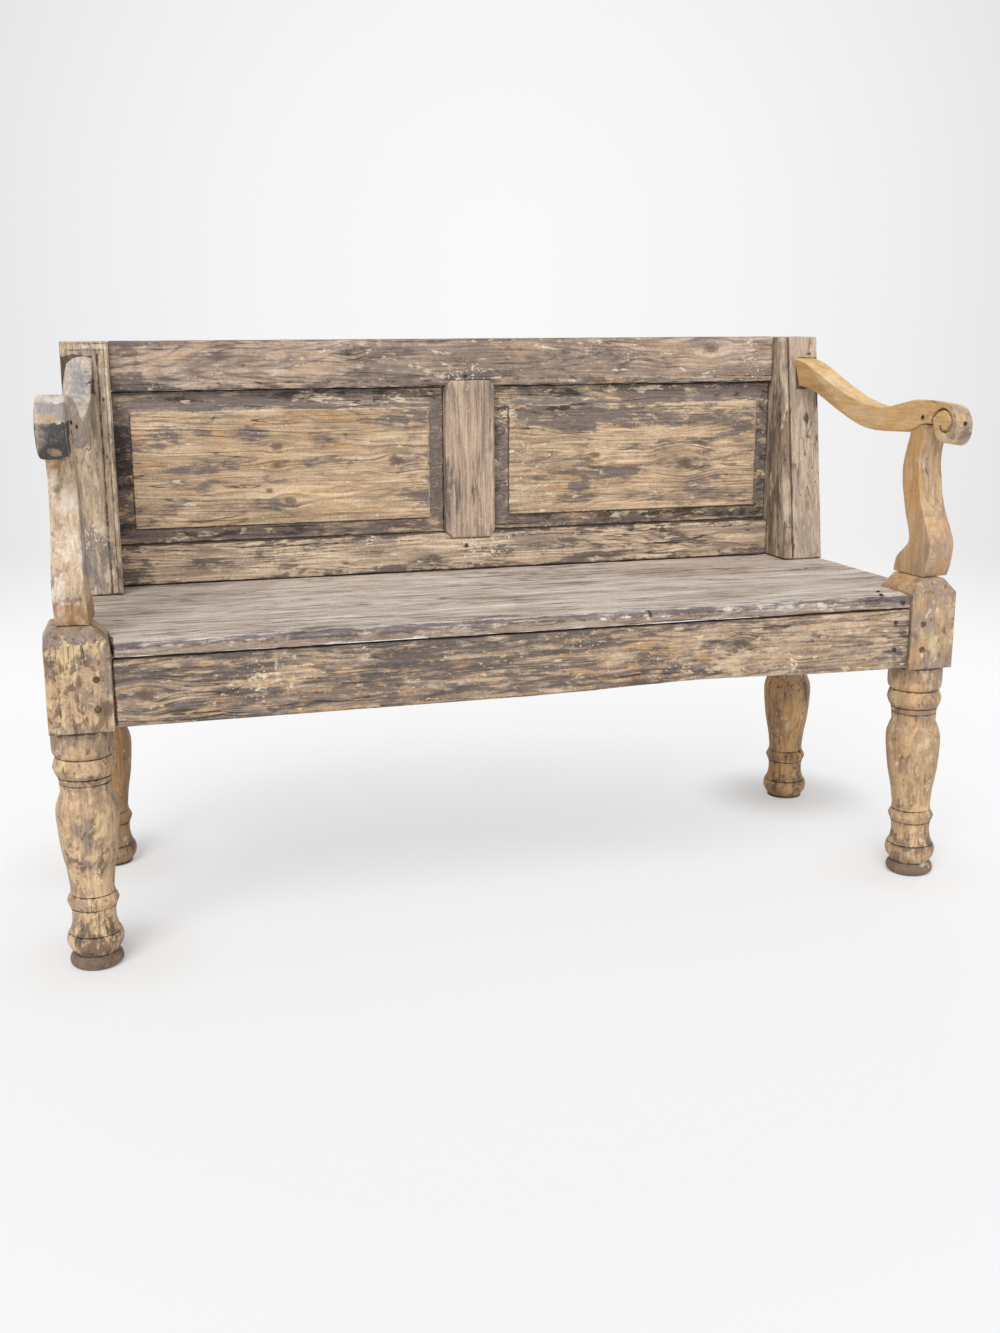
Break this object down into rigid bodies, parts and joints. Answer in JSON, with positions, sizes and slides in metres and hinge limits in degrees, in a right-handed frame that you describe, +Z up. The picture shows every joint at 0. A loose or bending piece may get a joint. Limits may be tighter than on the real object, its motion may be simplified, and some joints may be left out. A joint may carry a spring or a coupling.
{
  "type": "deacons bench",
  "caption": "Long pine bench with turned legs, a plank seat, a framed back with raised panels and scrolled arms on curved supports.",
  "frame": {"origin": "On the floor under the middle of the bench.", "axes": "+X along the bench to the sitter's left hand, which is the right end seen from the front; +Y from the front to the back; +Z up."},
  "size_m": [1.4195, 0.5419, 0.88],
  "materials": {
    "honey_pine": "aged bare pine, waxed",
    "painted_pine": "pine with worn remains of dark and cream paint",
    "grey_pine": "weathered silver grey pine",
    "dark_peg": "dark end grain",
    "iron": "dull wrought iron"
  },
  "bodies": {
    "root": {"front_left_leg": "honey_pine", "rear_left_leg": "honey_pine", "left_side_apron": "painted_pine", "left_post": "grey_pine", "left_panel": "painted_pine", "left_arm": "honey_pine", "left_arm_support": "honey_pine", "left_leg_peg_1": "dark_peg", "left_arm_nail_1": "iron", "left_leg_peg_2": "dark_peg", "left_arm_nail_2": "iron", "front_right_leg": "honey_pine", "rear_right_leg": "honey_pine", "right_side_apron": "painted_pine", "right_post": "grey_pine", "right_panel": "painted_pine", "right_arm": "honey_pine", "right_arm_support": "honey_pine", "right_leg_peg_1": "dark_peg", "right_arm_nail_1": "iron", "right_leg_peg_2": "dark_peg", "right_arm_nail_2": "iron", "front_apron": "painted_pine", "rear_apron": "painted_pine", "top_rail": "painted_pine", "bottom_rail": "painted_pine", "muntin": "painted_pine", "seat": "grey_pine", "apron_nail_1": "iron", "apron_nail_2": "iron", "seat_nail_1": "iron", "seat_nail_2": "iron", "seat_nail_3": "iron", "muntin_top_nail": "iron", "muntin_bottom_nail": "iron"}
  },
  "joints": []
}
